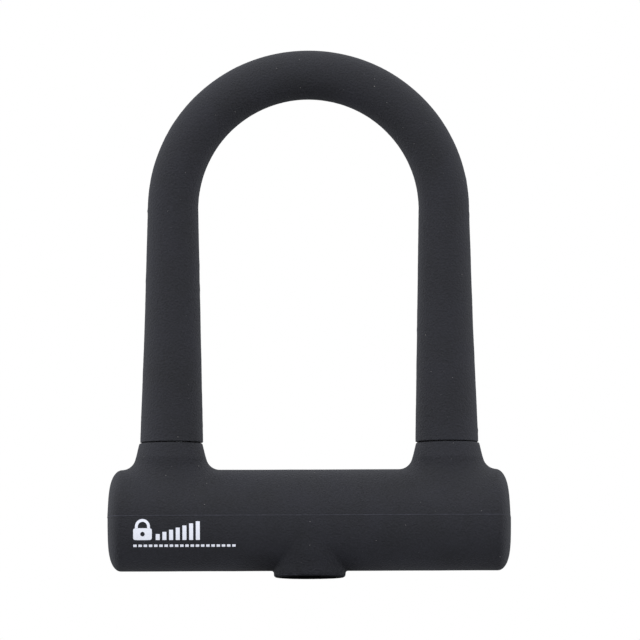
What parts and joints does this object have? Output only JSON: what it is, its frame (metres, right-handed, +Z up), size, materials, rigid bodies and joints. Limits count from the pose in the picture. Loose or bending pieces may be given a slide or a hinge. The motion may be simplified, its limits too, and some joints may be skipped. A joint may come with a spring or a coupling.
{
  "type": "u lock",
  "caption": "Compact bicycle U-lock: silicone-jacketed steel shackle in a round crossbar, with a keyed cylinder, a turning dust cover and bolts that slide into the shackle's legs.",
  "frame": {"origin": "centre of the flat face under the keyway boss, which the lock stands on", "axes": "+Z up along the shackle's legs, X along the crossbar, -Y towards the front"},
  "size_m": [0.152, 0.038, 0.1984],
  "materials": {
    "silicone": "matt black overmoulded silicone",
    "plated_steel": "hardened steel bar, satin zinc plated",
    "tube_steel": "hardened steel tube, phosphated dark grey",
    "machined_steel": "turned and ground steel",
    "spring_steel": "rolled spring steel",
    "zinc_casting": "die-cast zinc alloy",
    "screw_steel": "black oxide steel",
    "brass": "turned brass",
    "stainless": "turned stainless steel",
    "cover_plastic": "moulded black nylon",
    "bush_plastic": "moulded natural acetal",
    "seal_rubber": "moulded nitrile rubber"
  },
  "bodies": {
    "crossbar": {"crossbar_jacket": "silicone", "crossbar_tube": "tube_steel", "left_end_plug": "machined_steel", "right_end_plug": "machined_steel", "end_plug_pins": "spring_steel", "left_leg_socket": "machined_steel", "right_leg_socket": "machined_steel", "left_leg_bush": "bush_plastic", "right_leg_bush": "bush_plastic", "left_leg_pad": "seal_rubber", "right_leg_pad": "seal_rubber", "lower_carrier": "zinc_casting", "upper_carrier": "zinc_casting", "carrier_screws": "screw_steel", "cylinder_body": "brass", "cylinder_seal": "seal_rubber", "cylinder_lock_pin": "machined_steel", "core_clip": "spring_steel", "keyway_bezel": "stainless", "cover_washer": "spring_steel"},
    "shackle": {"shackle_bar": "plated_steel", "shackle_jacket": "silicone"},
    "lock_core": {"front_plate": "stainless", "core_drum": "brass", "detainer_discs": "brass", "disc_spacers": "stainless", "sidebar": "machined_steel", "locking_cam": "machined_steel", "cam_screw": "screw_steel"},
    "left_bolt": {"left_bolt": "machined_steel", "left_bolt_pin": "machined_steel"},
    "right_bolt": {"right_bolt": "machined_steel", "right_bolt_pin": "machined_steel"},
    "dust_cover": {"dust_cover": "cover_plastic"}
  },
  "joints": [
    {"name": "shackle_lift", "type": "slide", "parent": "crossbar", "child": "shackle", "axis": [0, 0, 1], "range_m": [0, 0.05]},
    {"name": "key_turn", "type": "hinge", "parent": "crossbar", "child": "lock_core", "pos_m": [0, 0, 0], "axis": [0, 0, 1], "range_deg": [0, 90]},
    {"name": "left_bolt_slide", "type": "slide", "parent": "crossbar", "child": "left_bolt", "axis": [-1, 0, 0], "range_m": [0, 0.005]},
    {"name": "right_bolt_slide", "type": "slide", "parent": "crossbar", "child": "right_bolt", "axis": [1, 0, 0], "range_m": [0, 0.005]},
    {"name": "dust_cover_turn", "type": "hinge", "parent": "crossbar", "child": "dust_cover", "pos_m": [0, 0, 0], "axis": [0, 0, 1], "range_deg": [0, 90]}
  ],
  "couplings": [
    {"joint": "left_bolt_slide", "follows": "key_turn", "m_per_rad": 0.003183},
    {"joint": "right_bolt_slide", "follows": "key_turn", "m_per_rad": 0.003183}
  ]
}
